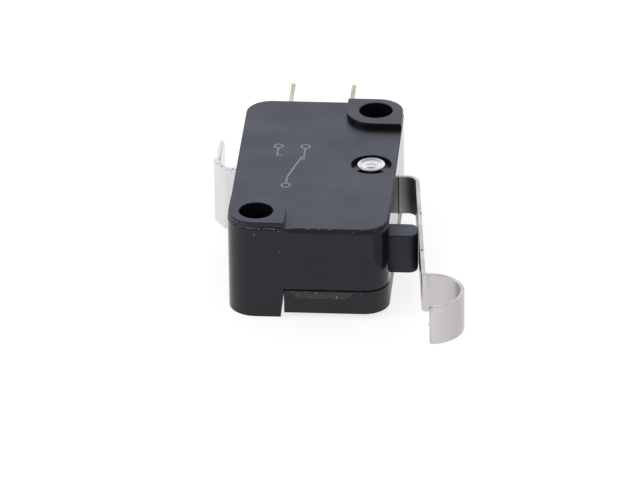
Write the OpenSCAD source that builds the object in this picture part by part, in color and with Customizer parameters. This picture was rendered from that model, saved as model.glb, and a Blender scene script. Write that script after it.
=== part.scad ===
// Miniature snap-action switch with a folded hinge lever, lying on its broad side.
// The origin is on the axis of the mounting hole on the common side, at the height of the
// mounting face. +X runs to the plunger side, +Y to the end with two tabs, +Z up.

/* [Body] */
// Width from the common side to the plunger side
body_w = 15.9; // [15.4:0.1:18]
// Length along the plunger side
body_l = 27.8; // [26.5:0.1:32]
// Thickness over the mounting bosses
body_t = 10.3; // [10:0.1:12]
// Diameter of the mounting holes
hole_d = 3.2; // [2.8:0.05:3.4]
// Distance of each mounting hole's axis from its side and end face
hole_edge = 2.8; // [2.6:0.05:3]
// Bevel at the mouths of the mounting holes
hole_bevel = 0.06; // [0.05:0.01:0.2]
// Height of the bosses over the case's broad face
boss_step = 0.6; // [0.4:0.05:0.8]
// Height of the cover's broad face over the feet of the legs
foot_step = 0.5; // [0.4:0.05:0.8]
// Radius of the bosses about the mounting holes
boss_r = 2.95; // [2.7:0.05:3.1]
// How far the upper bosses stand back from the end faces
boss_inset = 0.25; // [0.15:0.05:0.4]
// How far the upper bosses stand back from the side faces
boss_inset_side = 0.06; // [0.04:0.01:0.1]
// Radius of the two corners without a hole
corner_r = 2.5; // [1.5:0.1:2.8]
// Height of the seam between case and cover
seam_z = 3.1; // [2.9:0.05:3.15]
// Thickness of the side walls
wall = 1.3; // [1.1:0.05:1.5]
// Thickness of the case's broad wall
case_top = 1.1; // [0.9:0.05:1.3]
// Thickness of the cover's broad wall
cover_floor = 1.3; // [1:0.05:1.35]
// Gap between the cover and the legs of the case
leg_gap = 0.06; // [0.03:0.01:0.12]
// How far the legs stand back from the bosses, towards the cover
leg_inset = 0.17; // [0.1:0.01:0.2]
// How far the legs narrow towards their feet
leg_draft = 0.28; // [0.1:0.02:0.4]
// Straight part of the legs below the seam
leg_straight = 0.6; // [0.2:0.05:1]
// Radius of the posts round the mounting holes inside
post_r = 2.5; // [2.3:0.05:2.6]
// Thickness of the cover's wall round each leg
notch_wall = 0.8; // [0.6:0.05:1]

/* [Plunger] */
// Width along the body
plunger_w = 2.6; // [2.2:0.1:3]
// Height across the body
plunger_h = 4.1; // [3.6:0.05:4.15]
// Distance of its axis from the front end face
plunger_y = 5.2; // [4.8:0.1:5.6]
// Radius of the edges of its tip
plunger_round = 0.9; // [0.5:0.05:1.05]
// Gap between the plunger and its guide
plunger_slack = 0.05; // [0.02:0.01:0.1]
// Length of the guide inside the wall
guide_l = 1.2; // [0.8:0.1:1.6]
// Thickness of the guide's cheeks
guide_wall = 0.6; // [0.5:0.05:0.8]
// Thickness of the flange that keeps the plunger in
flange_t = 1.1; // [0.8:0.1:1.4]
// How far the flange stands out on each side
flange_lip = 0.7; // [0.4:0.05:0.9]
// Play between the flange and the guide
flange_gap = 0.1; // [0.05:0.01:0.2]
// Radius of the nose that presses the actuating arm
nose_r = 0.8; // [0.6:0.05:1]

/* [Rivet] */
// Diameter of the shank
rivet_d = 2; // [1.8:0.05:2.4]
// Diameter of the rolled head
rivet_head_d = 2.8; // [2.6:0.05:3]
// Diameter of the flat head under the cover
flat_head_d = 3.2; // [3:0.05:3.4]
// Radius of the rolled edge of both heads
head_round = 0.2; // [0.15:0.05:0.3]
// Diameter of the dimple in the rolled head
dimple_d = 2.3; // [1.6:0.05:2.35]
// Depth of the dimple
dimple_depth = 0.45; // [0.3:0.05:0.8]
// Distance of its axis from the plunger side
rivet_x = 2.55; // [2.5:0.05:2.8]
// Distance of its axis from the front end face
rivet_y = 14.3; // [14:0.1:14.6]
// Radius of the ring pocket round the head
pocket_r = 2; // [1.8:0.05:2.2]
// Depth of the ring pocket
pocket_depth = 0.5; // [0.3:0.05:0.6]
// Width of the two lands left in the ring pocket
land_w = 0.75; // [0.4:0.05:0.8]
// Turn of the lands from the line across the body, degrees
land_angle = 36; // [20:1:40]
// How far the rolled head stands over the broad face
head_proud = 0.06; // [0.02:0.01:0.2]
// Gap between the shank and its holes
rivet_slack = 0.04; // [0.02:0.01:0.1]

/* [Lever] */
// Width of the lever's strip
lever_w = 4.1; // [3.6:0.05:4.1]
// Thickness of the lever's strip
lever_t = 0.4; // [0.3:0.02:0.5]
// Outward slope of the free arm, degrees
lever_tilt = 5.2; // [4:0.1:6.5]
// Turn from free to fully pressed, degrees
lever_swing = 12; // [10:0.5:13]
// Radius of the hook round the rivet's post, at mid thickness
hook_r = 2.03; // [1.95:0.01:2.15]
// Gap between the hook and the post
hook_slack = 0.05; // [0.02:0.01:0.1]
// How far round the post the hook reaches, degrees
hook_sweep = 170; // [150:1:176]
// Length of the leg outside the wall before its bend
leg_out = 1.05; // [0.8:0.05:1.3]
// Radius of the bend from leg to arm, at mid thickness
leg_bend = 1; // [0.8:0.05:1.3]
// Length of the straight arm
arm_l = 19.3; // [17:0.1:21]
// Radius of the bend from arm to curl, at mid thickness
neck_bend = 0.35; // [0.3:0.05:0.6]
// Outer radius of the curl that stands in for a roller
curl_r = 3.52; // [3:0.05:4]
// How far the curl runs round, degrees
curl_sweep = 180; // [150:1:190]
// Gap between the lever and the walls above and beside it
lever_end_gap = 0.1; // [0.05:0.01:0.15]
// Radius of the corners at the curl's free end
tip_corner = 0.35; // [0.2:0.05:0.6]

/* [Terminals] */
// Width of the quick-connect tabs
tab_w = 4.75; // [4.4:0.05:5]
// Thickness of the sheet
tab_t = 0.5; // [0.4:0.02:0.55]
// Length of the tabs
tab_l = 6.35; // [5.5:0.05:7]
// Chamfer at the corners of each tab's tip
tab_chamfer = 0.55; // [0.4:0.05:1.1]
// Width of the coined bevel along each tab's edges
coin_w = 0.4; // [0.2:0.05:0.6]
// Depth of the coined bevel into the sheet
coin_t = 0.1; // [0.05:0.01:0.15]
// Diameter of the detent hole in each tab
tab_hole_d = 1.3; // [1:0.05:1.6]
// Distance of the detent hole from the tip
tab_hole_tip = 3; // [2.6:0.05:3.2]
// Gap between the sheet inside and the broad walls
sheet_gap = 0.225; // [0.15:0.025:0.4]
// Length of the shoulders outside the wall
shoulder_l = 2.4; // [1.5:0.05:2.5]
// Width of the neck that sits in the wall
neck_w = 5.2; // [5:0.05:5.5]
// Gap between a neck and its slot
slot_slack = 0.04; // [0.02:0.01:0.1]
// Distance of the normally open tab from the common side
open_x = 3.9; // [3.6:0.05:4.1]
// Distance of the normally closed tab from the plunger side
closed_x = 5.8; // [5.75:0.05:6]
// Distance of the common terminal from the front end face
common_y = 15; // [14.6:0.1:15.4]
// Distance of the common tab's middle from its side face
common_out = 2.35; // [2:0.05:3]
// Width of the common terminal outside the wall
common_w = 6.7; // [6.5:0.05:7]
// Straight part of the common terminal outside its side face, at mid thickness
common_straight = 1.28; // [1.1:0.02:1.5]
// How far its slanted part runs back, at mid thickness
common_back = 1.68; // [1.4:0.02:2]
// Radius of the common terminal's inner bend, at mid thickness
common_inner_bend = 0.6; // [0.5:0.05:0.8]
// Shoulder left on the common tab after its slanted part
common_shoulder = 0.42; // [0.2:0.02:1.5]

/* [Contacts] */
// Diameter of the fixed contacts
contact_d = 2.6; // [2.2:0.1:3]
// Height of the fixed contacts' heads
contact_h = 0.9; // [0.8:0.02:0.96]
// Diameter of the contacts' shanks
contact_shank_d = 1.2; // [1:0.05:1.4]
// Diameter of the upset tail behind each terminal
tail_d = 1.8; // [1.6:0.05:2]
// Height of the upset tail behind each terminal
contact_tail = 0.25; // [0.15:0.01:0.3]
// Diameter of the moving contact
moving_d = 2.4; // [2:0.1:2.6]
// Sheet left round each contact
contact_lip = 0.25; // [0.15:0.05:0.35]
// Crown radius of all contacts
crown_r = 4; // [3:0.1:6]
// Free gap between the moving contact and the open one
contact_gap = 1.1; // [0.9:0.05:1.2]
// Distance of the contacts from the tab end face
contact_y = 5.5; // [5.2:0.1:5.7]

/* [Snap mechanism] */
// Distance of the contact arm's pivot from the plunger side
pivot_x = 8; // [7.8:0.05:8.2]
// How far that pivot lies in front of the common terminal
pivot_y = 2; // [1.8:0.05:2.2]
// Step across from it to the actuating arm's pivot
pivot_step_x = 1; // [0.8:0.05:1.1]
// Step towards the front from it to the actuating arm's pivot
pivot_step_y = 1.8; // [1.7:0.05:2]
// Radius of the rounded pivot ears
ear_r = 0.3; // [0.25:0.01:0.35]
// Gap between the ears and their holes
ear_slack = 0.04; // [0.02:0.01:0.08]
// Width of the bracket's cheeks round the pivots
cheek_r = 0.85; // [0.75:0.05:0.95]
// Depth of the bracket's back behind the actuating arm's pivot
bracket_depth = 1.4; // [1.2:0.05:1.5]
// Gap between both arms and the bracket's cheeks
arm_gap = 0.275; // [0.1:0.025:0.4]
// Width of the window in both arms that clears the spring
window_w = 2.2; // [2:0.05:2.6]
// Thickness of the contact arm
contact_arm_t = 0.3; // [0.25:0.01:0.4]
// Distance of the spring's eye from the moving contact
eye_from_contact = 3; // [2.8:0.1:3.3]
// Thickness of the actuating arm
actuating_t = 0.4; // [0.3:0.02:0.5]
// Length of the actuating arm from its pivot
actuating_l = 8; // [7.8:0.1:8.3]
// Radius of the corners of the actuating arm's pad
pad_corner = 0.6; // [0.3:0.05:0.9]
// Slope of the actuating arm at rest, degrees
actuating_tilt = 23; // [22:0.5:25]
// Distance of the spring's eye from the actuating arm's pivot
actuating_eye = 4.5; // [4.2:0.1:4.8]
// Radius of the spring's eyes in both arms
eye_r = 0.42; // [0.4:0.01:0.46]
// Web between each eye and the window
eye_web = 0.35; // [0.25:0.05:0.5]
// Wire of the snap spring
wire_d = 0.24; // [0.18:0.01:0.26]
// Coil radius of the snap spring, at the middle of the wire
coil_r = 0.6; // [0.5:0.02:0.65]
// How far the front loop reaches past its eye at rest
spring_ease = 0.06; // [0.03:0.01:0.1]
// Turns of the snap spring
coil_turns = 18; // [12:1:22]
// Gap left where moving pieces touch
touch = 0.03; // [0.02:0.01:0.05]

/* [Hidden] */
$fn = 48;
eps = 0.01;
over = 1;

// Faces of the body
side_common = -hole_edge;
side_plunger = body_w - hole_edge;
end_front = -hole_edge;
end_tabs = body_l - hole_edge;
far_hole = [body_w - 2 * hole_edge, body_l - 2 * hole_edge];
broad_z = body_t - boss_step;
roof_z = broad_z - case_top;
floor_z = foot_step + cover_floor;
mid_z = (roof_z + floor_z) / 2;
leg_r = boss_r - leg_inset;

// The lever turns about the rivet's axis
hinge = [side_plunger - rivet_x, end_front + rivet_y];
hook_in = hook_r - lever_t / 2;
hook_out = hook_r + lever_t / 2;
hinge_post_r = hook_in - hook_slack;
lever_leg = rivet_x + leg_out;
lever_top = mid_z + lever_w / 2;
lever_bottom = mid_z - lever_w / 2;
lever_home = lever_swing - lever_tilt;
slot_near = hinge.y + (hook_in - rivet_x * sin(lever_home)) / cos(lever_home) - lever_end_gap;
slot_far = hinge.y + (hook_out + rivet_x * sin(lever_tilt)) / cos(lever_tilt) + lever_end_gap;
lever_runs = [[lever_leg, -90, leg_bend], [arm_l, 90, neck_bend], [0, -curl_sweep, curl_r - lever_t / 2]];

// The arm's inner face, as its distance from the hinge, sets where the plunger's tip is
arm_face = lever_leg + leg_bend - lever_t / 2;
plunger_axis = end_front + plunger_y;
tip_round_y = plunger_axis + plunger_w / 2 - plunger_round - hinge.y;
plunger_tip = hinge.x + plunger_round
    + (arm_face - touch - plunger_round - tip_round_y * sin(lever_tilt)) / cos(lever_tilt);
guide_face = side_plunger - wall - guide_l;
flange_face = guide_face - flange_gap;

// Contacts and the two pivots in the common terminal's bracket
shoulder_w = roof_z - floor_z - 2 * sheet_gap;
arm_w = shoulder_w - 2 * (tab_t + arm_gap);
open_mid = side_common + open_x;
closed_mid = side_plunger - closed_x;
common_mid = end_front + common_y;
open_face = open_mid + tab_t / 2 + contact_h;
closed_face = closed_mid - tab_t / 2 - contact_h;
moving_l = closed_face - open_face - contact_gap;
contact_line = end_tabs - contact_y;
contact_pivot = [side_plunger - pivot_x, common_mid - pivot_y];
actuating_pivot = contact_pivot - [pivot_step_x, pivot_step_y];
moving_centre = [closed_face - touch - moving_l / 2, contact_line];
contact_reach = norm(moving_centre - contact_pivot);
contact_tilt = atan2(contact_pivot.x - moving_centre.x, moving_centre.y - contact_pivot.y);
contact_arm_eye = contact_reach - eye_from_contact;
bracket_x = actuating_pivot.x - bracket_depth;
nose_x = actuating_pivot.x + (nose_r + actuating_t / 2 + touch
    + (actuating_pivot.y - plunger_axis) * sin(actuating_tilt)) / cos(actuating_tilt);
plate_end = contact_line - contact_d / 2 - contact_lip;

// Eyes of the snap spring
eye_front = actuating_pivot + actuating_eye * [sin(actuating_tilt), -cos(actuating_tilt)];
eye_back = contact_pivot + contact_arm_eye * [-sin(contact_tilt), cos(contact_tilt)];

plastic = [0.2, 0.2, 0.22];
cover_plastic = [0.17, 0.17, 0.18];
plunger_plastic = [0.15, 0.15, 0.16];
steel = [0.78, 0.77, 0.76];
bright_steel = [0.86, 0.86, 0.87];
tinned = [0.9, 0.9, 0.88];
brass = [0.86, 0.8, 0.5];
copper = [0.8, 0.52, 0.32];
silver = [0.93, 0.93, 0.95];

// Shared shapes

// Rectangle between two corners
module block2d(low, high) {
    translate(low) square(high - low);
}

// Rectangle with one radius at each corner, from the lower left one round to the upper left one
module rounded2d(low, high, radii) {
    corners = [low, [high.x, low.y], high, [low.x, high.y]];
    inward = [[1, 1], [-1, 1], [-1, -1], [1, -1]];
    difference() {
        block2d(low, high);
        for (i = [0:3]) translate(corners[i]) scale_sign(inward[i]) corner2d(radii[i]);
    }
}

module scale_sign(signs) {
    mirror([signs.x < 0 ? 1 : 0, 0]) mirror([0, signs.y < 0 ? 1 : 0]) children();
}

// What a rounded corner takes away
module corner2d(r) {
    difference() {
        translate([-over, -over]) square(r + over);
        translate([r, r]) circle(r);
    }
}

// Slice of a ring
module ring_slice2d(inner, outer, from, sweep) {
    reach = 2 * outer;
    intersection() {
        difference() {
            circle(outer);
            circle(inner);
        }
        polygon(concat([[0, 0]],
            [for (a = [from, from + sweep / 2, from + sweep]) reach * [cos(a), sin(a)]]));
    }
}

// Folded strip seen edge on: each run is a straight length, a turn and the turn's radius
module strip2d(runs, thick, i = 0) {
    if (i < len(runs)) {
        turn = runs[i][1];
        bend = runs[i][2];
        if (runs[i][0] > 0) translate([0, -thick / 2]) square([runs[i][0], thick]);
        translate([runs[i][0], 0]) {
            if (turn != 0) translate([0, sign(turn) * bend])
                ring_slice2d(bend - thick / 2, bend + thick / 2, turn > 0 ? -90 : 90 + turn, abs(turn));
            translate(bend * [sin(abs(turn)), sign(turn) * (1 - cos(turn))]) rotate(turn)
                strip2d(runs, thick, i + 1);
        }
    }
}

// Places its children at the end of a strip, with +X along the strip
module at_strip_end(runs, i = 0) {
    if (i < len(runs)) {
        turn = runs[i][1];
        translate([runs[i][0], 0]) translate(runs[i][2] * [sin(abs(turn)), sign(turn) * (1 - cos(turn))])
            rotate(turn) at_strip_end(runs, i + 1) children();
    } else children();
}

// Outline of the body; the two hole corners are round about the holes
module body2d(inset = [0, 0]) {
    hole_corner = hole_edge - inset.y;
    rounded2d([side_common, end_front] + inset, [side_plunger, end_tabs] - inset,
        [hole_corner, corner_r, hole_corner, corner_r]);
}

// Inside of the walls
module cavity2d() {
    inner_r = corner_r - wall;
    rounded2d([side_common + wall, end_front + wall], [side_plunger - wall, end_tabs - wall],
        [inner_r, inner_r, inner_r, inner_r]);
}

// Boss about the hole at the origin: two square corners, one round inner corner
module boss2d() {
    circle(boss_r);
    block2d([0, -boss_r], [boss_r, 0]);
    block2d([-boss_r, 0], [0, boss_r]);
}

// Leg about the hole at the origin, round towards the cover and open to the outside
module leg2d(r) {
    circle(r);
    block2d([-boss_r, -boss_r], [r, 0]);
    block2d([-boss_r, -boss_r], [0, r]);
}

// Repeats a shape at both mounting holes, the far one turned half round
module at_holes() {
    children();
    translate(far_hole) rotate(180) children();
}

// Slab of a 2D shape between two heights
module slab(low, high) {
    translate([0, 0, low]) linear_extrude(high - low) children();
}

// Sheet that stands across the body: 2D x runs along the sheet, 2D y along +Z
module upright(thick) {
    rotate([90, 0, 90]) translate([0, 0, -thick / 2]) linear_extrude(thick) children();
}

// Slots for the necks and plates of the three terminals
module neck_slots() {
    half_t = tab_t / 2 + slot_slack;
    half_w = neck_w / 2 + slot_slack;
    slab(mid_z - half_w, mid_z + half_w) {
        for (x = [open_mid, closed_mid])
            block2d([x - half_t, plate_end - slot_slack], [x + half_t, end_tabs + over]);
        block2d([side_common - over, common_mid - half_t], [side_common + wall + eps, common_mid + half_t]);
    }
}

// Crowned contact head along +X, with its flat back at the origin
module contact_head(d, h) {
    rotate([0, 90, 0]) intersection() {
        cylinder(d = d, h = h);
        translate([0, 0, h - crown_r]) sphere(crown_r, $fn = 96);
    }
}

// Wall, posts and pockets

module mounting_holes() {
    at_holes() {
        translate([0, 0, -over]) cylinder(d = hole_d, h = body_t + 2 * over);
        for (end = [0, 1]) translate([0, 0, end * body_t]) mirror([0, 0, end])
            translate([0, 0, -eps])
                cylinder(d1 = hole_d + 2 * (hole_bevel + eps), d2 = hole_d, h = hole_bevel + eps);
    }
}

// Space between the cover and the roof, less the posts and the plunger's guide
module case_cavity() {
    slab(seam_z - eps, roof_z) difference() {
        cavity2d();
        at_holes() circle(post_r);
        translate(hinge) circle(hinge_post_r);
        block2d([guide_face, plunger_axis - plunger_w / 2 - plunger_slack - guide_wall],
            [side_plunger, plunger_axis + plunger_w / 2 + plunger_slack + guide_wall]);
    }
}

// Ring pocket round the rivet's head, with two lands left standing in it
module rivet_pocket() {
    slab(broad_z - pocket_depth, broad_z + over) translate(hinge) difference() {
        circle(pocket_r);
        for (side = [0, 1]) mirror([side, 0]) rotate(-land_angle)
            block2d([rivet_head_d / 2 + hook_slack, -land_w / 2], [pocket_r + eps, land_w / 2]);
    }
}

// Slanted faces of the legs below their straight part, towards the cover
module leg_drafts() {
    reach = boss_r + over;
    slant_h = seam_z - leg_straight;
    steep = slant_h / leg_draft;
    at_holes() for (side = [0, 1]) mirror([side, -side, 0])
        translate([0, reach, 0]) rotate([90, 0, 0]) linear_extrude(2 * reach)
            polygon([[leg_r - leg_draft - eps / steep, -eps], [reach, -eps],
                [reach, slant_h + (reach - leg_r) * steep]]);
}

module case() {
    color(plastic) difference() {
        union() {
            difference() {
                union() {
                    slab(seam_z, broad_z) body2d();
                    slab(broad_z - eps, body_t) intersection() {
                        at_holes() boss2d();
                        body2d([boss_inset_side, boss_inset]);
                    }
                    difference() {
                        slab(0, seam_z + eps) intersection() {
                            at_holes() leg2d(leg_r);
                            body2d();
                        }
                        leg_drafts();
                    }
                }
                case_cavity();
            }
            slab(lever_top + lever_end_gap, roof_z + eps) translate(hinge) circle(hook_out);
        }
        mounting_holes();
        rivet_pocket();
        translate(hinge) translate([0, 0, seam_z - over]) cylinder(d = rivet_d + 2 * rivet_slack, h = body_t);
        slab(mid_z - plunger_h / 2 - plunger_slack - over, mid_z + plunger_h / 2 + plunger_slack)
            block2d([guide_face - over, plunger_axis - plunger_w / 2 - plunger_slack],
                [side_plunger + over, plunger_axis + plunger_w / 2 + plunger_slack]);
        slab(seam_z - over, lever_top + lever_end_gap)
            block2d([side_plunger - wall - eps, slot_near], [side_plunger + over, slot_far]);
        neck_slots();
    }
}

module cover() {
    pad_z = min(seam_z, lever_bottom) - lever_end_gap / 2;
    color(cover_plastic) difference() {
        union() {
            difference() {
                slab(foot_step, seam_z) difference() {
                    body2d();
                    at_holes() leg2d(leg_r + leg_gap);
                }
                slab(floor_z, seam_z + over) difference() {
                    cavity2d();
                    at_holes() circle(leg_r + leg_gap + notch_wall);
                }
            }
            slab(floor_z - eps, pad_z) translate(hinge) circle(hook_out);
        }
        translate(hinge) {
            cylinder(d = rivet_d + 2 * rivet_slack, h = body_t);
            translate([0, 0, foot_step - over])
                cylinder(d = flat_head_d + 2 * rivet_slack, h = pocket_depth + over);
        }
        neck_slots();
    }
}

// Semi-tubular rivet: flat head under the cover, rolled head with a cone dimple on the case
module rivet() {
    low = foot_step + head_proud;
    seat_low = foot_step + pocket_depth;
    seat_top = broad_z - pocket_depth;
    top = broad_z + head_proud;
    color(bright_steel) translate(hinge) rotate_extrude($fn = 64) difference() {
        union() {
            block2d([0, seat_low - eps], [rivet_d / 2, seat_top + eps]);
            rounded2d([0, low], [flat_head_d / 2, seat_low], [0, head_round, 0, 0]);
            rounded2d([0, seat_top], [rivet_head_d / 2, top], [0, 0, head_round, 0]);
        }
        polygon([[0, top - dimple_depth], [dimple_d / 2, top], [dimple_d / 2, top + over], [0, top + over]]);
    }
}

module plunger() {
    half_w = plunger_w / 2;
    flange_half = half_w + flange_lip;
    low = mid_z - plunger_h / 2;
    color(plunger_plastic) slab(low, low + plunger_h) translate([0, plunger_axis]) {
        rounded2d([flange_face - eps, -half_w], [plunger_tip, half_w], [0, plunger_round, plunger_round, 0]);
        block2d([flange_face - flange_t, -flange_half], [flange_face, flange_half]);
        block2d([nose_x, -nose_r], [flange_face, nose_r]);
        translate([nose_x, 0]) circle(nose_r);
    }
}

// One folded strip: hook round the rivet's post, leg, bend, sloping arm, and curl
module lever() {
    color(steel) translate([hinge.x, hinge.y, lever_bottom]) rotate(lever_tilt) difference() {
        linear_extrude(lever_w) {
            ring_slice2d(hook_in, hook_out, 90, hook_sweep);
            translate([0, hook_r]) strip2d(lever_runs, lever_t);
        }
        translate([0, hook_r]) at_strip_end(lever_runs) for (end = [0, 1])
            translate([0, 0, end * lever_w]) mirror([0, 0, end]) rotate([90, 0, 0])
                translate([0, 0, -lever_t]) linear_extrude(2 * lever_t) mirror([1, 0]) corner2d(tip_corner);
    }
}

// Quick-connect tab with its tip at Y = 0 and a bevel along each long edge
module tab() {
    bevel = [[-coin_t * (1 + over / coin_w), over], [over, over], [over, -coin_w * (1 + over / coin_t)]];
    difference() {
        upright(tab_t) difference() {
            polygon([[-tab_l - eps, -tab_w / 2], [-tab_chamfer, -tab_w / 2], [0, tab_chamfer - tab_w / 2],
                [0, tab_w / 2 - tab_chamfer], [-tab_chamfer, tab_w / 2], [-tab_l - eps, tab_w / 2]]);
            translate([-tab_hole_tip, 0]) circle(d = tab_hole_d);
        }
        for (across = [0, 1], up = [0, 1]) mirror([across, 0, 0]) mirror([0, 0, up])
            translate([tab_t / 2, over, tab_w / 2]) rotate([90, 0, 0])
                linear_extrude(tab_l + over) polygon(bevel);
    }
}

// Straight terminal: tab, shoulder, neck in the wall, and a plate that carries the fixed contact
module straight_terminal(x) {
    tip = end_tabs + shoulder_l + tab_l;
    translate([x, tip, mid_z]) tab();
    translate([x, 0, mid_z]) difference() {
        upright(tab_t) {
            block2d([end_tabs + slot_slack, -shoulder_w / 2], [end_tabs + shoulder_l, shoulder_w / 2]);
            block2d([end_tabs - wall - slot_slack - eps, -neck_w / 2], [end_tabs + shoulder_l, neck_w / 2]);
            block2d([plate_end, -neck_w / 2], [end_tabs - wall - slot_slack, shoulder_w / 2]);
        }
        translate([-over, contact_line, 0]) rotate([0, 90, 0]) cylinder(d = contact_shank_d, h = 2 * over);
    }
}

module open_terminal() {
    color(brass) straight_terminal(open_mid);
}

module closed_terminal() {
    color(brass) straight_terminal(closed_mid);
}

// Outer part of the common terminal seen edge on: straight, slanted, and along the tab
module common_fold2d(tab_x, shoulder_end) {
    half_t = tab_t / 2;
    fold_x = side_common - common_straight;
    fold_y = common_mid + common_back;
    slant = atan2(common_back, common_out - common_straight);
    first = half_t * tan(slant / 2);
    second = half_t * tan((90 - slant) / 2);
    polygon([[side_common, common_mid - half_t], [fold_x - first, common_mid - half_t],
        [tab_x - half_t, fold_y - second], [tab_x - half_t, shoulder_end],
        [tab_x + half_t, shoulder_end], [tab_x + half_t, fold_y + second],
        [fold_x + first, common_mid + half_t], [side_common, common_mid + half_t]]);
}

// Common terminal: tab, slanted part, neck in the wall, inner bend, and a bracket with two cheeks
module common_terminal() {
    bracket_low = actuating_pivot.y - cheek_r;
    bracket_run = common_mid - common_inner_bend - bracket_low;
    through = bracket_x - common_inner_bend - side_common + common_straight / 2;
    tab_x = side_common - common_out;
    shoulder_end = common_mid + common_back + common_shoulder;
    low = mid_z - shoulder_w / 2;
    color(tinned) difference() {
        union() {
            translate([bracket_x, bracket_low, low]) rotate(90) linear_extrude(shoulder_w)
                strip2d([[bracket_run, 90, common_inner_bend], [through, 0, 0]], tab_t);
            slab(mid_z - common_w / 2, mid_z + common_w / 2) common_fold2d(tab_x, shoulder_end);
            translate([tab_x, shoulder_end + tab_l, mid_z]) tab();
            for (z = [low, low + shoulder_w - tab_t]) slab(z, z + tab_t)
                rounded2d([bracket_x, bracket_low], contact_pivot + [cheek_r, cheek_r],
                    [0, cheek_r, cheek_r, 0]);
        }
        for (pivot = [contact_pivot, actuating_pivot]) translate([pivot.x, pivot.y, low - over])
            cylinder(r = ear_r + ear_slack, h = shoulder_w + 2 * over);
        for (side = [-1, 1]) translate([0, 0, mid_z + side * (neck_w + shoulder_w) / 2])
            translate([side_common - slot_slack, common_mid - tab_t, -shoulder_w / 2])
                cube([wall + 2 * slot_slack, 2 * tab_t, shoulder_w]);
    }
}

// Fixed contact: crowned head, shank through the plate, and upset tail
module fixed_contact(x, facing) {
    color(silver) translate([x, contact_line, mid_z]) mirror([facing < 0 ? 1 : 0, 0, 0]) {
        translate([tab_t / 2, 0, 0]) contact_head(contact_d, contact_h);
        rotate([0, 90, 0]) {
            cylinder(d = contact_shank_d, h = tab_t + 2 * eps, center = true);
            translate([0, 0, -tab_t / 2 - contact_tail]) cylinder(d = tail_d, h = contact_tail);
        }
    }
}

module open_contact() {
    fixed_contact(open_mid, 1);
}

module closed_contact() {
    fixed_contact(closed_mid, -1);
}

// Round ears of an arm, at the pivot
module ears() {
    ear_reach = shoulder_w / 2 - slot_slack;
    for (side = [0, 1]) mirror([0, 0, side]) translate([0, 0, window_w / 2])
        cylinder(r = ear_r, h = ear_reach - window_w / 2, $fn = 32);
}

// Forked contact arm: two legs from the pivot ears to the spring's eye and the moving contact
module contact_arm() {
    window_end = contact_arm_eye - eye_r - eye_web;
    pad_r = moving_d / 2 + contact_lip;
    color(copper) translate([contact_pivot.x, contact_pivot.y, mid_z]) rotate(contact_tilt) {
        ears();
        upright(contact_arm_t) difference() {
            union() {
                block2d([-ear_r, -arm_w / 2], [contact_arm_eye + 2 * eye_r, arm_w / 2]);
                block2d([contact_arm_eye, -pad_r], [contact_reach, pad_r]);
                translate([contact_reach, 0]) circle(pad_r);
            }
            block2d([-over, -window_w / 2], [window_end, window_w / 2]);
            translate([contact_arm_eye, 0]) circle(eye_r, $fn = 32);
            translate([contact_reach, 0]) circle(d = contact_shank_d);
        }
    }
}

// Double-headed moving contact, through the end of the contact arm
module moving_contact() {
    head_h = (moving_l - contact_arm_t) / 2;
    color(silver) translate([moving_centre.x, moving_centre.y, mid_z]) rotate(contact_tilt) {
        for (side = [0, 1]) mirror([side, 0, 0]) translate([contact_arm_t / 2, 0, 0])
            contact_head(moving_d, head_h);
        translate([-contact_arm_t / 2 - eps, 0, 0]) rotate([0, 90, 0])
            cylinder(d = contact_shank_d, h = contact_arm_t + 2 * eps);
    }
}

// Forked actuating arm: two legs from its pivot ears to the pad that the plunger's nose presses
module actuating_arm() {
    window_end = actuating_eye - eye_r - eye_web;
    color(copper) translate([actuating_pivot.x, actuating_pivot.y, mid_z]) rotate(180 + actuating_tilt) {
        ears();
        upright(actuating_t) difference() {
            rounded2d([-ear_r, -arm_w / 2], [actuating_l, arm_w / 2], [0, pad_corner, pad_corner, 0]);
            block2d([-over, -window_w / 2], [window_end, window_w / 2]);
            translate([actuating_eye, 0]) circle(eye_r, $fn = 32);
        }
    }
}

// Path of the snap spring's wire: end loop, coils, end loop
spring_along = unit(eye_back - eye_front);
spring_start = eye_front - spring_ease * spring_along;
spring_span = norm(eye_back - spring_start);
spring_across = [-spring_along.y, spring_along.x];
coil_start = 3 * coil_r;
coil_length = spring_span - 2 * coil_start;
coil_angle = 360 * coil_turns;
loop_open = 40;
loop_close = 260;
loop_step = 20;
coil_step = 30;

// Point of the wire at a distance along the spring, a distance across it and a height
function wire_at(along, across, up) = let (p = spring_start + along * spring_along + across * spring_across)
    [p.x, p.y, mid_z + up];

wire_path = concat(
    [for (a = [loop_open:loop_step:loop_close]) wire_at(coil_r + coil_r * cos(a), coil_r * sin(a), 0)],
    [for (a = [0:coil_step:coil_angle])
        wire_at(coil_start + coil_length * a / coil_angle, -coil_r * cos(a), coil_r * sin(a))],
    [for (a = [loop_close:-loop_step:loop_open])
        wire_at(spring_span - coil_r - coil_r * cos(a), coil_r * sin(a), 0)]
);

function unit(v) = v / norm(v);

// Direction of a path at one of its points
function heading(path, i) = unit(path[min(i + 1, len(path) - 1)] - path[max(i - 1, 0)]);

// Part of a vector that is square to a direction
function square_to(v, direction) = unit(v - (v * direction) * direction);

// Tube along a path, with rings that turn as little as they can
module tube(path, r, sides) {
    count = len(path);
    normals = [for (i = 0, n = square_to([0, 0, 1], heading(path, 0)); i < count;
        i = i + 1, n = square_to(n, heading(path, min(i, count - 1)))) n];
    rings = [for (i = [0:count - 1]) let (n = normals[i], b = cross(heading(path, i), n))
        for (k = [0:sides - 1]) path[i] + r * (cos(360 * k / sides) * n + sin(360 * k / sides) * b)];
    walls = [for (i = [0:count - 2], k = [0:sides - 1]) let (next = (k + 1) % sides)
        [i * sides + k, (i + 1) * sides + k, (i + 1) * sides + next, i * sides + next]];
    ends = [[for (k = [0:sides - 1]) k], [for (k = [sides - 1:-1:0]) (count - 1) * sides + k]];
    polyhedron(rings, concat(walls, ends));
}

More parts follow.
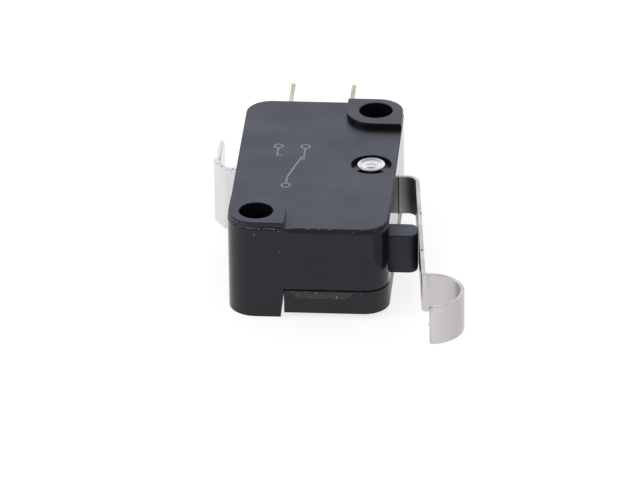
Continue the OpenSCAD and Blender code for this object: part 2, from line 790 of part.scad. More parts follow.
module snap_spring() {
    color(steel) tube(wire_path, wire_d / 2, 6);
}

case();
cover();
rivet();
plunger();
lever();
common_terminal();
open_terminal();
closed_terminal();
open_contact();
closed_contact();
actuating_arm();
contact_arm();
moving_contact();
snap_spring();
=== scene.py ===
import random
from math import cos, hypot, inf, pi, radians, sin

import bmesh
import bpy
from mathutils import Matrix, Vector, noise
from mathutils.bvhtree import BVHTree


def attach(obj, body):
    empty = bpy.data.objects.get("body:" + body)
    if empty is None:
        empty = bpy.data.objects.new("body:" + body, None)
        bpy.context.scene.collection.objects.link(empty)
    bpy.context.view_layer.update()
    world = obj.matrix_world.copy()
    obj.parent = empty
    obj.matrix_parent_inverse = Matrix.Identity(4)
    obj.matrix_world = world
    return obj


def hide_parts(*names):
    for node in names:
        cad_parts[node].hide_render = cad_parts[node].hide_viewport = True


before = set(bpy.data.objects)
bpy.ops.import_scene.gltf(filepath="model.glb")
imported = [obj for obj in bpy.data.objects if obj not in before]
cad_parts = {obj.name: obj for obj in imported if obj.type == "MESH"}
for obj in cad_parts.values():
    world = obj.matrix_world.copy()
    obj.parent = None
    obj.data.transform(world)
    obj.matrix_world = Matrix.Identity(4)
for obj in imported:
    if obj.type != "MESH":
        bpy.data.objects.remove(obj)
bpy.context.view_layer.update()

scene = bpy.context.scene
mm = 0.001  # every size below is in millimetres
weld = 0.002  # points closer than this are one
touch = 0.02  # heights closer than this are level
flatAngle = 0.6  # faces that bend less than this, in degrees, are one flat face
sharpAngle = 40  # edges that bend more than this, in degrees, stay sharp
easeAngle = 25  # edges that bend more than this, in degrees, are eased
print("frame loaded:", len(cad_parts), "CAD nodes")


def newObject(name, mesh, material=None):
    made = bpy.data.objects.new(name, mesh)
    scene.collection.objects.link(made)
    if material:
        mesh.materials.append(material)
    return made


def meshFrom(bm, name):
    mesh = bpy.data.meshes.new(name)
    bm.to_mesh(mesh)
    bm.free()
    return mesh


def weldedCopy(mesh):
    bm = bmesh.new()
    bm.from_mesh(mesh)
    bmesh.ops.remove_doubles(bm, verts=bm.verts, dist=weld * mm)
    return bm


def takeResult(work, *spares):
    # the mesh that an object's modifiers make; the objects that made it are dropped
    result = bpy.data.meshes.new_from_object(work.evaluated_get(bpy.context.evaluated_depsgraph_get()))
    for spare in (work, *spares):
        mesh = spare.data
        bpy.data.objects.remove(spare)
        bpy.data.meshes.remove(mesh)
    return result


def smoothFaces(mesh, angle):
    mesh.polygons.foreach_set("use_smooth", [True] * len(mesh.polygons))
    mesh.set_sharp_from_angle(angle=radians(angle))


# camera and light

cameraView = {
    "target": (5.15, 11.1, 5.15),  # middle of the body
    "azimuth": 4.555, "elevation": 27.959, "roll": -0.774, "distance": 725.622,
    "slide": (-0.262, 3.427),  # sideways and up in the picture
    "focalPixels": 7285.434, "pictureWidth": 640, "sensorWidth": 36, "near": 10, "far": 20000,
}


def placeCamera(view):
    turn, lift, roll = (radians(view[k]) for k in ("azimuth", "elevation", "roll"))
    back = Vector((sin(turn) * cos(lift), -cos(turn) * cos(lift), sin(lift)))
    right = Vector((cos(turn), sin(turn), 0))
    up = back.cross(right)
    across = right * cos(roll) + up * sin(roll)
    above = up * cos(roll) - right * sin(roll)
    place = Vector(view["target"]) + back * view["distance"]
    place -= across * view["slide"][0] + above * view["slide"][1]
    lens = bpy.data.cameras.new("photoCamera")
    lens.sensor_fit = "HORIZONTAL"
    lens.sensor_width = view["sensorWidth"]
    lens.lens = view["focalPixels"] * view["sensorWidth"] / view["pictureWidth"]
    lens.clip_start = view["near"] * mm
    lens.clip_end = view["far"] * mm
    camera = bpy.data.objects.new("photoCamera", lens)
    camera.matrix_world = Matrix((
        (across.x, above.x, back.x, place.x * mm),
        (across.y, above.y, back.y, place.y * mm),
        (across.z, above.z, back.z, place.z * mm),
        (0, 0, 0, 1),
    ))
    scene.collection.objects.link(camera)
    scene.camera = camera


placeCamera(cameraView)

studio = {
    "skyColour": (0.945, 0.945, 1.0), "skyStrength": 0.62,
    "floorColour": (0.4, 0.4, 0.4),
    "floorFade": 0.985,  # how far its slow clouds darken it
    "floorCloud": 160.0, "floorSpecular": 0.2, "floorRoughness": 0.85,
    "floorGlow": 0.78,  # a lit table, so the floor stays white under the part
    "floorHalf": 900, "floorCells": 12, "floorPlace": (5, 11, -0.02),
    "lamps": [  # name, place, size, watts, colour
        ("backSoftbox", (-20, 300, 165), 240, 0.232, (0.76, 0.81, 1.0)),
        ("leftSoftbox", (-330, -120, 190), 200, 0.3, (0.96, 0.97, 1.0)),
    ],
}


def lightStudio(setup):
    sky = bpy.data.worlds.new("studioSky")
    sky.use_nodes = True
    glow = sky.node_tree.nodes["Background"]
    glow.inputs["Color"].default_value = (*setup["skyColour"], 1)
    glow.inputs["Strength"].default_value = setup["skyStrength"]
    scene.world = sky
    aim = Vector(cameraView["target"])
    for name, place, size, watts, colour in setup["lamps"]:
        lamp = bpy.data.lights.new(name, "AREA")
        lamp.shape = "DISK"
        lamp.size = size * mm
        lamp.energy = watts
        lamp.color = colour
        holder = bpy.data.objects.new(name, lamp)
        holder.location = Vector(place) * mm
        holder.rotation_euler = (aim - Vector(place)).to_track_quat("-Z", "Y").to_euler()
        scene.collection.objects.link(holder)
    scene.view_settings.view_transform = "Standard"


lightStudio(studio)
print("camera and studio light placed")


# shader nodes

def put(tree, kind, place, settings=None, values=None):
    made = tree.nodes.new(kind)
    made.location = place
    for key, value in (settings or {}).items():
        setattr(made, key, value)
    for key, value in (values or {}).items():
        made.inputs[key].default_value = value
    return made


def feed(tree, source, socket):
    # an output is linked to the socket; a number, vector or colour is set on it
    if isinstance(source, bpy.types.NodeSocket):
        tree.links.new(source, socket)
    elif socket.type == "RGBA":
        socket.default_value = (*source, 1)
    else:
        socket.default_value = source


def calc(tree, place, operation, *terms, clamp=False):
    made = put(tree, "ShaderNodeMath", place, {"operation": operation, "use_clamp": clamp})
    for term, socket in zip(terms, made.inputs):
        feed(tree, term, socket)
    return made.outputs[0]


def remap(tree, place, source, fromMin, fromMax, toMin=0.0, toMax=1.0):
    ramp = put(tree, "ShaderNodeMapRange", place)
    terms = {"Value": source, "From Min": fromMin, "From Max": fromMax,
             "To Min": toMin, "To Max": toMax}
    for label, term in terms.items():
        feed(tree, term, ramp.inputs[label])
    return ramp.outputs["Result"]


def spread(tree, place, cloud, low, high):
    # a noise value keeps near its middle, so 0.3 to 0.7 becomes low to high
    return remap(tree, place, cloud, 0.3, 0.7, low, high)


def splitAxes(tree, place, source):
    made = put(tree, "ShaderNodeSeparateXYZ", place)
    feed(tree, source, made.inputs[0])
    return made.outputs


def mixValues(tree, place, low, high, mask):
    blend = put(tree, "ShaderNodeMix", place, {"data_type": "FLOAT"})
    for label, source in (("Factor", mask), ("A", low), ("B", high)):
        feed(tree, source, blend.inputs[label])
    return blend.outputs["Result"]


def mixColours(tree, place, low, high, mask):
    blend = put(tree, "ShaderNodeMix", place, {"data_type": "RGBA"})
    sockets = [blend.inputs["Factor"], *(socket for socket in blend.inputs if socket.type == "RGBA")]
    for source, socket in zip((mask, low, high), sockets):
        feed(tree, source, socket)
    return next(socket for socket in blend.outputs if socket.type == "RGBA")


def cloudNoise(tree, place, spot, size, detail, roughness):
    # noise with features of a size in millimetres
    x, y = place
    cloud = put(tree, "ShaderNodeTexNoise", place, None, {"Detail": detail, "Roughness": roughness})
    feed(tree, spot, cloud.inputs["Vector"])
    feed(tree, calc(tree, (x - 250, y), "DIVIDE", 1 / mm, size), cloud.inputs["Scale"])
    return cloud.outputs["Fac"]


# shader node groups, each built once

def startGroup(name, inputs, outputs):
    tree = bpy.data.node_groups.new(name, "ShaderNodeTree")
    for label, value in inputs.items():
        kind = "NodeSocketVector" if isinstance(value, tuple) else "NodeSocketFloat"
        socket = tree.interface.new_socket(label, in_out="INPUT", socket_type=kind)
        socket.default_value = value
    for label in outputs:
        tree.interface.new_socket(label, in_out="OUTPUT", socket_type="NodeSocketFloat")
    take = put(tree, "NodeGroupInput", (-900, 0)).outputs
    give = put(tree, "NodeGroupOutput", (700, 0)).inputs
    spot = put(tree, "ShaderNodeTexCoord", (-900, 300)).outputs
    return tree, take, give, spot


def mouldGrainGroup():
    # fine eroded texture of a steel mould, and slow cloudy changes over it
    tree, take, give, spot = startGroup(
        "mouldGrain", {"Grain Size": 0.12, "Cloud Size": 4.0}, ["Height", "Cloud"])
    grain = cloudNoise(tree, (-400, 200), spot["Object"], take["Grain Size"], 2.0, 0.6)
    cloud = cloudNoise(tree, (-400, -200), spot["Object"], take["Cloud Size"], 3.0, 0.55)
    feed(tree, grain, give["Height"])
    feed(tree, cloud, give["Cloud"])
    return tree


def mouldFinishGroup():
    # flat faces and rims come off a duller part of the mould than upright walls
    tree, take, give, spot = startGroup("mouldFinish", {
        "Cloud": 0.5, "Wall Low": 0.2, "Wall High": 0.3, "Face Low": 0.4, "Face High": 0.5}, ["Roughness"])
    lean = calc(tree, (-450, 300), "ABSOLUTE", splitAxes(tree, (-650, 300), spot["Normal"])["Z"])
    flat = remap(tree, (-250, 300), lean, 0.03, 0.3)  # only an upright wall counts as wall
    wall = spread(tree, (-250, 0), take["Cloud"], take["Wall Low"], take["Wall High"])
    face = spread(tree, (-250, -300), take["Cloud"], take["Face Low"], take["Face High"])
    feed(tree, mixValues(tree, (100, 0), wall, face, flat), give["Roughness"])
    return tree


def edgeWearGroup():
    # broken light line on rounded edges, from the rim mark that roundedCopy leaves
    tree, take, give, spot = startGroup("edgeWear", {"Patch Size": 0.8, "Cover": 0.5}, ["Mask"])
    rim = put(tree, "ShaderNodeAttribute", (-400, -200), {"attribute_name": "rim"})
    patch = cloudNoise(tree, (-400, 200), spot["Object"], take["Patch Size"], 4.0, 0.65)
    bare = calc(tree, (-400, -20), "SUBTRACT", 1.0, take["Cover"])
    keep = calc(tree, (-150, 200), "SUBTRACT", patch, bare)
    steep = calc(tree, (50, 200), "MULTIPLY", keep, 7.0, clamp=True)  # patches end sharply
    feed(tree, calc(tree, (300, 100), "MULTIPLY", steep, rim.outputs["Fac"]), give["Mask"])
    return tree


def dustSpeckGroup():
    # sparse pale specks: the heart of a few cells only
    tree, take, give, spot = startGroup(
        "dustSpecks", {"Spacing": 1.2, "Speck": 0.06, "Share": 0.25}, ["Mask"])
    cells = put(tree, "ShaderNodeTexVoronoi", (-400, 200))
    tone = put(tree, "ShaderNodeSeparateColor", (-280, 30))
    feed(tree, spot["Object"], cells.inputs["Vector"])
    feed(tree, calc(tree, (-650, 200), "DIVIDE", 1 / mm, take["Spacing"]), cells.inputs["Scale"])
    feed(tree, cells.outputs["Color"], tone.inputs[0])
    reach = calc(tree, (-400, -150), "DIVIDE", take["Speck"], take["Spacing"])
    near = calc(tree, (-150, 200), "LESS_THAN", cells.outputs["Distance"], reach)
    pick = calc(tree, (-150, 0), "LESS_THAN", tone.outputs["Red"], take["Share"])
    feed(tree, calc(tree, (100, 100), "MULTIPLY", near, pick), give["Mask"])
    return tree


def stripRollingGroup():
    # long streaks that rolling leaves on strip, and a slow tarnish
    tree, take, give, spot = startGroup("stripRolling", {
        "Stretch": (1, 1, 24), "Streak Size": 2.0,
        "Stain Stretch": (1, 1, 1), "Stain Size": 3.0}, ["Height", "Stain"])
    for stretch, size, detail, out, y in (("Stretch", "Streak Size", 4.0, "Height", 150),
                                          ("Stain Stretch", "Stain Size", 3.0, "Stain", -200)):
        squeeze = put(tree, "ShaderNodeVectorMath", (-800, y + 150), {"operation": "MULTIPLY"})
        feed(tree, spot["Object"], squeeze.inputs[0])
        feed(tree, take[stretch], squeeze.inputs[1])
        cloud = cloudNoise(tree, (-350, y), squeeze.outputs[0], take[size], detail, 0.6)
        feed(tree, cloud, give[out])
    return tree


def shearedEdgeGroup():
    # narrow cut edges of a stamped strip, told from its broad faces by the way they face
    tree, take, give, spot = startGroup("shearedEdge", {
        "Across": (0, 0, 1), "Tilt From": 0.45, "Tilt Full": 0.8, "Tip From": 90.0}, ["Mask"])
    size = put(tree, "ShaderNodeVectorMath", (-650, 300), {"operation": "ABSOLUTE"})
    share = put(tree, "ShaderNodeVectorMath", (-450, 250), {"operation": "DOT_PRODUCT"})
    feed(tree, spot["Normal"], size.inputs[0])
    feed(tree, size.outputs[0], share.inputs[0])
    feed(tree, take["Across"], share.inputs[1])
    soft = remap(tree, (-200, 250), share.outputs["Value"], take["Tilt From"], take["Tilt Full"])
    tip = calc(tree, (-450, -150), "MULTIPLY", take["Tip From"], mm)
    along = splitAxes(tree, (-650, -50), spot["Object"])["Y"]
    past = calc(tree, (-200, -50), "GREATER_THAN", along, tip)
    feed(tree, calc(tree, (100, 100), "MAXIMUM", soft, past), give["Mask"])
    return tree


mouldGrain = mouldGrainGroup()
mouldFinish = mouldFinishGroup()
edgeWear = edgeWearGroup()
dustSpecks = dustSpeckGroup()
stripRolling = stripRollingGroup()
shearedEdge = shearedEdgeGroup()
print("node groups built")


# materials

def startMaterial(name, metallic, specular=0.5):
    made = bpy.data.materials.new(name)
    made.use_nodes = True
    tree = made.node_tree
    shader = tree.nodes["Principled BSDF"]
    shader.inputs["Metallic"].default_value = metallic
    shader.inputs["Specular IOR Level"].default_value = specular
    return made, tree, shader


def useGroup(tree, group, place, values):
    return put(tree, "ShaderNodeGroup", place, {"node_tree": group}, values)


def bumpFrom(tree, shader, height, strength, distance):
    bump = put(tree, "ShaderNodeBump", (-200, -400), None, {
        "Strength": strength, "Distance": distance * mm})
    feed(tree, height, bump.inputs["Height"])
    feed(tree, bump.outputs["Normal"], shader.inputs["Normal"])


def mouldedPlastic(name, look):
    made, tree, shader = startMaterial(name, 0.0, look["specular"])
    grainSize, cloudSize = look["grain"]
    wearColour, patch, cover = look["wear"]
    dustColour, spacing, speck, share = look["dust"]
    grain = useGroup(tree, mouldGrain, (-1100, 0), {"Grain Size": grainSize, "Cloud Size": cloudSize})
    worn = useGroup(tree, edgeWear, (-1100, 300), {"Patch Size": patch, "Cover": cover})
    dust = useGroup(tree, dustSpecks, (-1100, 550), {"Spacing": spacing, "Speck": speck, "Share": share})
    finish = useGroup(tree, mouldFinish, (-450, -150), dict(zip(
        ("Wall Low", "Wall High", "Face Low", "Face High"), look["wallRough"] + look["faceRough"])))
    cloud = spread(tree, (-850, -150), grain.outputs["Cloud"], 0.0, 1.0)
    colour = mixColours(tree, (-650, 200), look["dark"], look["light"], cloud)
    colour = mixColours(tree, (-450, 250), colour, wearColour, worn.outputs["Mask"])
    colour = mixColours(tree, (-250, 300), colour, dustColour, dust.outputs["Mask"])
    feed(tree, colour, shader.inputs["Base Color"])
    feed(tree, grain.outputs["Cloud"], finish.inputs["Cloud"])
    feed(tree, finish.outputs["Roughness"], shader.inputs["Roughness"])
    shader.inputs["Specular Tint"].default_value = (*look["sheen"], 1)
    bumpFrom(tree, shader, grain.outputs["Height"], *look["bump"])
    return made


def paintedLegShade(tree, shader, stain, colour, rough, legShade):
    # painted shade: the side of the leg that faces the front is painted darker and less metallic, standing in
    # for the shaded floor that it reflects; the painted shade deepens away from the wall and is painted near
    # black in the joint with the wall, as a painted shadow line
    spot = put(tree, "ShaderNodeTexCoord", (-1100, -600)).outputs
    axes = splitAxes(tree, (-900, -550), spot["Object"])
    facing = splitAxes(tree, (-900, -700), spot["Normal"])
    back = remap(tree, (-700, -550), axes["Y"], legShade["from"] * mm, legShade["to"] * mm)
    front = remap(tree, (-700, -800), facing["Y"], *legShade["facing"])
    leg = calc(tree, (-450, -650), "MULTIPLY", back, front)
    shadeCover = calc(tree, (-300, -650), "MULTIPLY", leg, spread(tree, (-500, -800), stain, *legShade["cover"]))
    depth = remap(tree, (-700, -1100), axes["X"], legShade["shadeLightAt"] * mm, legShade["thick"] * mm)
    tone = mixColours(tree, (-300, 600), legShade["paleShadeColour"], legShade["thickColour"], depth)
    colour = mixColours(tree, (-100, 350), colour, tone, shadeCover)
    rough = mixValues(tree, (-100, -150), rough, legShade["roughness"], shadeCover)
    metallic = remap(tree, (-100, -350), shadeCover, 0.0, 1.0, 1.0, legShade["metallic"])
    feed(tree, metallic, shader.inputs["Metallic"])
    jointFade = remap(tree, (-450, -950), axes["X"], legShade["jointShadeFull"] * mm, legShade["jointShadeEnd"] * mm, 1.0, 0.0)
    jointShade = calc(tree, (-250, -900), "MULTIPLY", jointFade, leg)
    return mixColours(tree, (50, 350), colour, legShade["jointShadeColour"], jointShade), rough


def rolledMetal(name, look):
    made, tree, shader = startMaterial(name, 1.0)
    edge, cover = look["edge"]
    even = (1, 1, 1)
    strip = useGroup(tree, stripRolling, (-1100, 0), {
        "Stretch": look.get("stretch", even), "Streak Size": look["streak"],
        "Stain Stretch": look.get("stainStretch", even), "Stain Size": look["stainSize"]})
    worn = useGroup(tree, edgeWear, (-1100, 300), {"Patch Size": 0.6, "Cover": cover})
    stain = spread(tree, (-850, -150), strip.outputs["Stain"], 0.0, 1.0)
    colour = mixColours(tree, (-600, 200), look["clean"], look["stain"], stain)
    rough = spread(tree, (-450, -150), strip.outputs["Height"], *look["roughness"])
    if "dulled" in look:
        # rubbed duller towards the crown of the curl
        spot = put(tree, "ShaderNodeTexCoord", (-1100, 900)).outputs
        reach = [end * mm for end in look["dulled"]["reach"]]
        crown = remap(tree, (-700, 900), splitAxes(tree, (-900, 900), spot["Object"])["X"], *reach)
        colour = mixColours(tree, (-500, 800), colour, look["dulled"]["colour"], crown)
    if "cut" in look:
        cut = look["cut"]
        sheared = useGroup(tree, shearedEdge, (-1100, 600), {
            "Across": cut["across"], "Tip From": cut["tipFrom"],
            "Tilt From": cut["tilt"][0], "Tilt Full": cut["tilt"][1]}).outputs["Mask"]
        bare = mixColours(tree, (-600, 500), cut["clean"], cut["stain"], stain)
        colour = mixColours(tree, (-400, 400), colour, bare, sheared)
        torn = spread(tree, (-450, -300), strip.outputs["Height"], *cut["roughness"])
        rough = mixValues(tree, (-200, -150), rough, torn, sheared)
    colour = mixColours(tree, (-250, 250), colour, edge, worn.outputs["Mask"])
    # painted shade on the front side of the lever's leg
    if "legShade" in look:
        colour, rough = paintedLegShade(tree, shader, strip.outputs["Stain"], colour, rough, look["legShade"])
    feed(tree, colour, shader.inputs["Base Color"])
    feed(tree, rough, shader.inputs["Roughness"])
    bumpFrom(tree, shader, strip.outputs["Height"], *look["bump"])
    return made


# wear is colour, patch size and cover; dust is colour, spacing, speck size and share
# edge is colour and cover; grain is its size and its cloud's; bump is strength and depth
casePlastic = mouldedPlastic("casePlastic", {
    "dark": (0.0074, 0.0073, 0.0086), "light": (0.0096, 0.0095, 0.011),
    "wear": ((0.05, 0.05, 0.054), 0.5, 0.45), "dust": ((0.16, 0.16, 0.16), 2.4, 0.05, 0.2),
    "specular": 0.35, "sheen": (0.88, 0.88, 0.98), "faceRough": (0.38, 0.46), "wallRough": (0.09, 0.13),
    "grain": (0.1, 5.0), "bump": (0.12, 0.012),
})
coverPlastic = mouldedPlastic("coverPlastic", {
    "dark": (0.0078, 0.0076, 0.009), "light": (0.0116, 0.0112, 0.0125),
    "wear": ((0.04, 0.04, 0.042), 0.6, 0.4), "dust": ((0.14, 0.14, 0.135), 2.0, 0.05, 0.2),
    "specular": 0.34, "sheen": (0.9, 0.9, 1.0), "faceRough": (0.4, 0.5), "wallRough": (0.28, 0.38),
    "grain": (0.1, 4.0), "bump": (0.28, 0.012),
})
plungerPlastic = mouldedPlastic("plungerPlastic", {
    "dark": (0.0085, 0.0088, 0.01), "light": (0.0125, 0.013, 0.0145),
    "wear": ((0.03, 0.03, 0.033), 0.5, 0.35), "dust": ((0.1, 0.1, 0.1), 1.8, 0.04, 0.15),
    "specular": 0.42, "sheen": (0.84, 0.86, 1.0), "faceRough": (0.4, 0.5), "wallRough": (0.3, 0.4),
    "grain": (0.08, 2.0), "bump": (0.25, 0.01),
})
leverSteel = rolledMetal("leverSteel", {
    "clean": (0.66, 0.628, 0.617), "stain": (0.535, 0.508, 0.503),
    "edge": ((0.6, 0.59, 0.58), 0.5),
    "stretch": (1, 1, 6), "streak": 2.5, "stainSize": 2.4, "stainStretch": (1, 1, 0.05),
    "roughness": (0.25, 0.29), "bump": (0.006, 0.005),
    "dulled": {"reach": (17.9, 20.5), "colour": (0.47, 0.446, 0.443)},
    "cut": {"across": (0, 0, 1), "tilt": (0.45, 0.8), "tipFrom": 90,
            "clean": (0.62, 0.58, 0.53), "stain": (0.51, 0.475, 0.43), "roughness": (0.45, 0.6)},
    # painted shade on the front side of the leg: lightest near the wall, darkest further out, with a
    # near-black painted shadow line in the joint with the wall
    "legShade": {"from": 9.5, "to": 11.5, "facing": (-0.3, -0.8), "cover": (0.9, 1.0),
            "roughness": 0.45, "metallic": 0.3,
            "shadeLightAt": 13.2, "paleShadeColour": (0.55, 0.52, 0.52),
            "thick": 14.0, "thickColour": (0.14, 0.133, 0.13),
            "jointShadeFull": 13.14, "jointShadeEnd": 13.19, "jointShadeColour": (0.008, 0.008, 0.008)},
})
tinnedBrass = rolledMetal("tinnedBrass", {
    "clean": (0.72, 0.715, 0.71), "stain": (0.66, 0.655, 0.65), "edge": ((0.66, 0.64, 0.58), 0.35),
    "stretch": (1, 1, 16), "streak": 2.0, "stainSize": 2.5, "roughness": (0.16, 0.24), "bump": (0.05, 0.004),
    "cut": {"across": (0, 0, 1), "tilt": (0.45, 0.8), "tipFrom": 20.4,
            "clean": (0.63, 0.61, 0.57), "stain": (0.53, 0.51, 0.47), "roughness": (0.35, 0.5)},
})
platedTab = rolledMetal("platedTab", {
    "clean": (0.93, 0.925, 0.91), "stain": (0.87, 0.86, 0.84), "edge": ((0.6, 0.56, 0.42), 0.4),
    "stretch": (18, 1, 1), "streak": 2.0, "stainSize": 2.5, "roughness": (0.14, 0.22), "bump": (0.04, 0.005),
    "cut": {"across": (0, 1, 1), "tilt": (0.1, 0.2), "tipFrom": 90,
            "clean": (0.53, 0.495, 0.345), "stain": (0.43, 0.395, 0.26), "roughness": (0.4, 0.55)},
})
rivetSteel = rolledMetal("rivetSteel", {
    "clean": (0.57, 0.552, 0.52), "stain": (0.48, 0.462, 0.44), "edge": ((0.61, 0.59, 0.56), 0.5),
    "streak": 0.25, "stainSize": 0.5, "roughness": (0.24, 0.34), "bump": (0.05, 0.005),
})
contactSilver = rolledMetal("contactSilver", {
    "clean": (0.88, 0.87, 0.85), "stain": (0.72, 0.69, 0.62), "edge": ((0.9, 0.89, 0.87), 0.5),
    "streak": 0.4, "stainSize": 0.7, "roughness": (0.2, 0.38), "bump": (0.12, 0.006),
})
armCopper = rolledMetal("armCopper", {
    "clean": (0.87, 0.55, 0.36), "stain": (0.7, 0.4, 0.24), "edge": ((0.9, 0.62, 0.44), 0.5),
    "stretch": (1, 1, 18), "streak": 2.0, "stainSize": 2.0, "roughness": (0.26, 0.4), "bump": (0.1, 0.005),
})
springSteel = rolledMetal("springSteel", {
    "clean": (0.58, 0.57, 0.56), "stain": (0.45, 0.43, 0.41), "edge": ((0.64, 0.63, 0.62), 0.4),
    "stretch": (1, 8, 1), "streak": 1.0, "stainSize": 1.5, "roughness": (0.22, 0.36), "bump": (0.1, 0.004),
})
print("materials built")


# floor

def layFloor(setup):
    made, tree, shader = startMaterial("paleFloor", 0.0, setup["floorSpecular"])
    cloud = useGroup(tree, mouldGrain, (-700, 0), {"Cloud Size": setup["floorCloud"]})
    fade = spread(tree, (-480, 0), cloud.outputs["Cloud"], 0.0, 1.0)
    faded = tuple(c * setup["floorFade"] for c in setup["floorColour"])
    colour = mixColours(tree, (-250, 0), setup["floorColour"], faded, fade)
    feed(tree, colour, shader.inputs["Base Color"])
    shader.inputs["Roughness"].default_value = setup["floorRoughness"]
    shader.inputs["Emission Color"].default_value = (1, 1, 1, 1)
    shader.inputs["Emission Strength"].default_value = setup["floorGlow"]
    bm = bmesh.new()
    cells = setup["floorCells"]
    bmesh.ops.create_grid(bm, x_segments=cells, y_segments=cells, size=setup["floorHalf"] * mm)
    floor = newObject("paleFloor", meshFrom(bm, "paleFloor"), made)
    floor.location = [c * mm for c in setup["floorPlace"]]


layFloor(studio)
print("floor laid")


# moulded and stamped pieces: the CAD node's own shape with its edges eased

body = {
    "common": -2.8, "plunger": 13.1, "front": -2.8, "tabs": 25.0,  # the four sides
    "corner": 2.8, "plainCorner": 2.5,  # radius with and without a hole in the corner
    "under": 0.5, "seam": 3.1, "broad": 9.7, "boss": 10.3,  # heights
    "holes": ((0, 0), (10.3, 22.2)), "holeReach": 1.8, "wallSlack": 0.12, "cornerSteps": 12,
}


def onOutline(mid):
    # on the outer wall, rounded corners included
    r = body["corner"]
    x = min(max(mid.x, body["common"] + r), body["plunger"] - r)
    y = min(max(mid.y, body["front"] + r), body["tabs"] - r)
    return hypot(mid.x - x, mid.y - y) > r - body["wallSlack"]


def byHole(mid):
    return min(hypot(mid.x - x, mid.y - y) for x, y in body["holes"]) < body["holeReach"]


def outlinePoints(inset):
    # the body's outline, drawn in by a distance
    lowX, highX = body["common"] + inset, body["plunger"] - inset
    lowY, highY = body["front"] + inset, body["tabs"] - inset
    wide, plain = body["corner"] - inset, body["plainCorner"] - inset
    corners = (
        (lowX + wide, lowY + wide, wide, 180),  # centre, radius and first angle
        (highX - plain, lowY + plain, plain, 270),
        (highX - wide, highY - wide, wide, 0),
        (lowX + plain, highY - plain, plain, 90),
    )
    points = []
    steps = body["cornerSteps"]
    for x, y, r, start in corners:
        for k in range(steps + 1):
            a = radians(start + 90 / steps * k)
            points.append((x + r * cos(a), y + r * sin(a)))
    return points


def grooveCut(source, groove):
    # takes a narrow groove out of the cover's upper rim, so that the seam reads as a dark line
    bm = bmesh.new()
    inner, outer, low, high = groove["depth"], -groove["past"], groove["low"], groove["high"]
    loops = []
    for inset, z in ((inner, low), (inner, high), (outer, high), (outer, low)):
        loops.append([bm.verts.new((x * mm, y * mm, z * mm)) for x, y in outlinePoints(inset)])
    for one, two in zip(loops, loops[1:] + loops[:1]):
        for k in range(len(one)):
            n = (k + 1) % len(one)
            bm.faces.new((one[k], one[n], two[n], two[k]))
    bmesh.ops.recalc_face_normals(bm, faces=bm.faces)
    tool = newObject("grooveTool", meshFrom(bm, "grooveTool"))
    work = newObject("grooveWork", meshFrom(weldedCopy(source), "grooveWork"))
    cut = work.modifiers.new("groove", "BOOLEAN")
    cut.operation = "DIFFERENCE"
    cut.solver = "EXACT"
    cut.object = tool
    return takeResult(work, tool)


def roomTo(spot, feet):
    # distance in millimetres to the nearest of some edges
    room = inf
    for one, two in feet:
        along = two - one
        t = min(max((spot - one).dot(along) / along.length_squared, 0.0), 1.0)
        room = min(room, (spot - one - along * t).length / mm)
    return room


def crownRim(bm, crown):
    # rounds the rim of the broad face
    # the radius changes along it, and shrinks where a boss leaves a narrow ledge
    level, steps, sharp = crown["level"] * mm, crown["steps"], crown["bend"]
    rims, feet, normals = [], [], {}
    for edge in bm.edges:
        if len(edge.link_faces) != 2 or any(abs(v.co.z - level) > touch * mm for v in edge.verts):
            continue
        bend = edge.calc_face_angle_signed()
        mid = (edge.verts[0].co + edge.verts[1].co) / (2 * mm)
        if bend > sharp and onOutline(mid):
            rims.append(edge)
            wall = min(edge.link_faces, key=lambda f: abs(f.normal.z))
            for v in edge.verts:
                normals[v] = normals.get(v, Vector()) + wall.normal
        elif bend < -sharp:
            feet.append([v.co.copy() for v in edge.verts])
    columns = {}
    for v, n in normals.items():
        n.normalize()
        r = min(crown["radius"](v.co / mm), crown["share"] * roomTo(v.co, feet)) * mm
        columns[v] = []
        for k in range(steps + 1):
            a = radians(90 * k / steps)
            spot = v.co - n * r * (1 - sin(a)) - Vector((0, 0, r * (1 - cos(a))))
            columns[v].append(bm.verts.new(spot))
    for face in dict.fromkeys(f for v in columns for f in v.link_faces):
        end = 0 if face.normal.z > 0.5 else -1  # the broad face keeps the inner end
        bm.faces.new([columns[v][end] if v in columns else v for v in face.verts])
    for edge in rims:
        one, two = (columns[v] for v in edge.verts)
        for k in range(steps):
            bm.faces.new((one[k], two[k], two[k + 1], one[k + 1])).material_index = 1
    bmesh.ops.delete(bm, geom=list(columns), context="VERTS")
    bmesh.ops.recalc_face_normals(bm, faces=bm.faces)


def openHoles(bm, draft):
    # mould draft: the mounting holes are a little wider at the top
    for v in bm.verts:
        for x, y in body["holes"]:
            out = Vector((v.co.x - x * mm, v.co.y - y * mm, 0))
            if v.co.z > draft["above"] * mm and out.length < draft["within"] * mm:
                v.co += out.normalized() * draft["widen"] * mm


def mergeFlats(bm, seams):
    # a seam through each hole keeps every flat face free of holes when its triangles are merged
    for axis, value in seams:
        side = Vector([1.0 if k == axis else 0.0 for k in range(3)])
        cut = bmesh.ops.bisect_plane(bm, geom=bm.verts[:] + bm.edges[:] + bm.faces[:], dist=weld / 2 * mm,
                                     plane_co=side * value * mm, plane_no=side)
        for piece in cut["geom_cut"]:
            if isinstance(piece, bmesh.types.BMEdge):
                piece.seam = True
    bmesh.ops.dissolve_limit(bm, angle_limit=radians(flatAngle), use_dissolve_boundaries=False,
                             verts=bm.verts, edges=bm.edges, delimit={"SEAM"})


def weighEdges(bm, ease, widest):
    # each sharp edge takes the width of the first rule that it meets
    weight = bm.edges.layers.float.new("bevel_weight_edge")
    for edge in bm.edges:
        if len(edge.link_faces) != 2 or edge.calc_face_angle() < radians(easeAngle):
            continue
        mid = (edge.verts[0].co + edge.verts[1].co) / (2 * mm)
        way = (edge.verts[1].co - edge.verts[0].co).normalized()
        for width, test in ease["rounds"]:
            if test(mid, way, edge.calc_face_angle_signed()):
                edge[weight] = width / widest
                break


